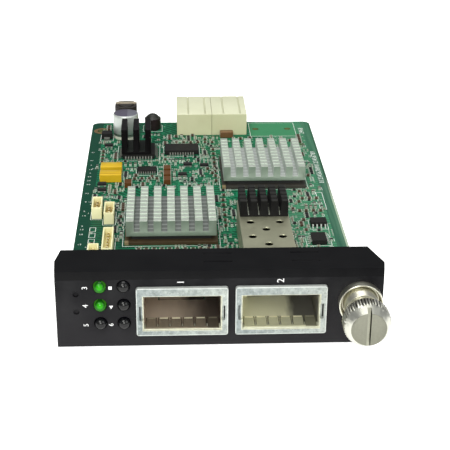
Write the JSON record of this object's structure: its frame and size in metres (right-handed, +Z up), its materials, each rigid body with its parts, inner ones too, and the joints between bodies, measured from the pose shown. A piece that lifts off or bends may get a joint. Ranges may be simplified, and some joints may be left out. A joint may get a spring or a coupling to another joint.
{
  "type": "media converter card",
  "caption": "Slide-in converter card: a green circuit board with heat sinks, power parts and rear connectors behind a black front plate with module ports and a captive thumbscrew.",
  "frame": {"origin": "on the front plate's bottom face, at mid width, in the plane of its front wall's inner face", "axes": "+X to the card's right as seen from the front, +Y from the front plate to the rear connectors, +Z up from the board"},
  "size_m": [0.0854, 0.1843, 0.0208],
  "materials": {
    "black_paint": "satin black paint",
    "board": "green solder mask over a glass-epoxy board",
    "pin_metal": "tinned and gold-flashed pins",
    "steel": "plain plated steel",
    "cast_zinc": "cast and dull plated",
    "shell_steel": "folded plated sheet",
    "finger_metal": "bright spring sheet",
    "black_plastic": "black moulded plastic",
    "cage_steel": "folded plated sheet",
    "black_sink": "black anodised",
    "silver_sink": "plain sawn metal",
    "package": "dark moulded package",
    "chip": "black moulded package with tinned leads",
    "ivory": "ivory moulded plastic",
    "can": "bright can",
    "ferrite": "dark ferrite",
    "choke": "dark moulded block",
    "tantalum": "yellow-orange moulded case",
    "brown_case": "brown moulded case",
    "header": "cream moulded plastic",
    "ceramic": "tan ceramic with tinned ends",
    "small_parts": "small surface-mount parts with tinned ends",
    "lit_lens": "green lens, lit",
    "dark_lens": "smoky lens, unlit",
    "nickel": "turned and nickel plated"
  },
  "bodies": {
    "card": {"backplane_connector_left": "ivory", "backplane_connector_right": "ivory", "bezel": "black_paint", "board_screws": "steel", "cage_heat_sink": "black_sink", "ceramic_capacitors": "ceramic", "chip_components": "small_parts", "circuit_board": "board", "driver_chip": "chip", "electrolytic_capacitor": "can", "finger_strip_a": "finger_metal", "finger_strip_b": "finger_metal", "flash_chip": "chip", "header_pins": "pin_metal", "heat_sink_front": "silver_sink", "heat_sink_rear": "silver_sink", "light_block": "black_plastic", "light_pins": "pin_metal", "logic_chip": "chip", "memory_chip": "chip", "module_cage": "cage_steel", "module_socket_a": "black_plastic", "module_socket_b": "black_plastic", "pin_header_1": "header", "pin_header_2": "header", "pin_header_3": "header", "pin_header_4": "header", "port_frame_a": "cast_zinc", "port_frame_b": "cast_zinc", "port_shell_a": "shell_steel", "port_shell_b": "shell_steel", "power_chip": "chip", "power_choke": "choke", "power_heat_sink": "black_sink", "power_inductor": "ferrite", "processor_front": "package", "processor_rear": "package", "rectifier_diode": "chip", "screw_ferrule": "nickel", "screw_spring": "steel", "small_transistors": "chip", "status_light_1": "lit_lens", "status_light_2": "dark_lens", "status_light_3": "lit_lens", "status_light_4": "dark_lens", "status_light_5": "dark_lens", "status_light_6": "dark_lens", "tantalum_capacitor_1": "tantalum", "tantalum_capacitor_2": "tantalum", "tantalum_capacitor_3": "brown_case"},
    "screw_carrier": {"retaining_ring": "steel"},
    "captive_screw": {"thumbscrew": "nickel"}
  },
  "joints": [
    {"name": "screw_push", "type": "slide", "parent": "card", "child": "screw_carrier", "axis": [0, 1, 0], "range_m": [0, 0.0032], "stiffness_N_per_m": 300, "springref_m": -0.002, "deforming": ["screw_spring"]},
    {"name": "screw_turn", "type": "hinge", "parent": "screw_carrier", "child": "captive_screw", "pos_m": [0.0361, 0, 0.0122], "axis": [0, 1, 0], "continuous": true}
  ]
}
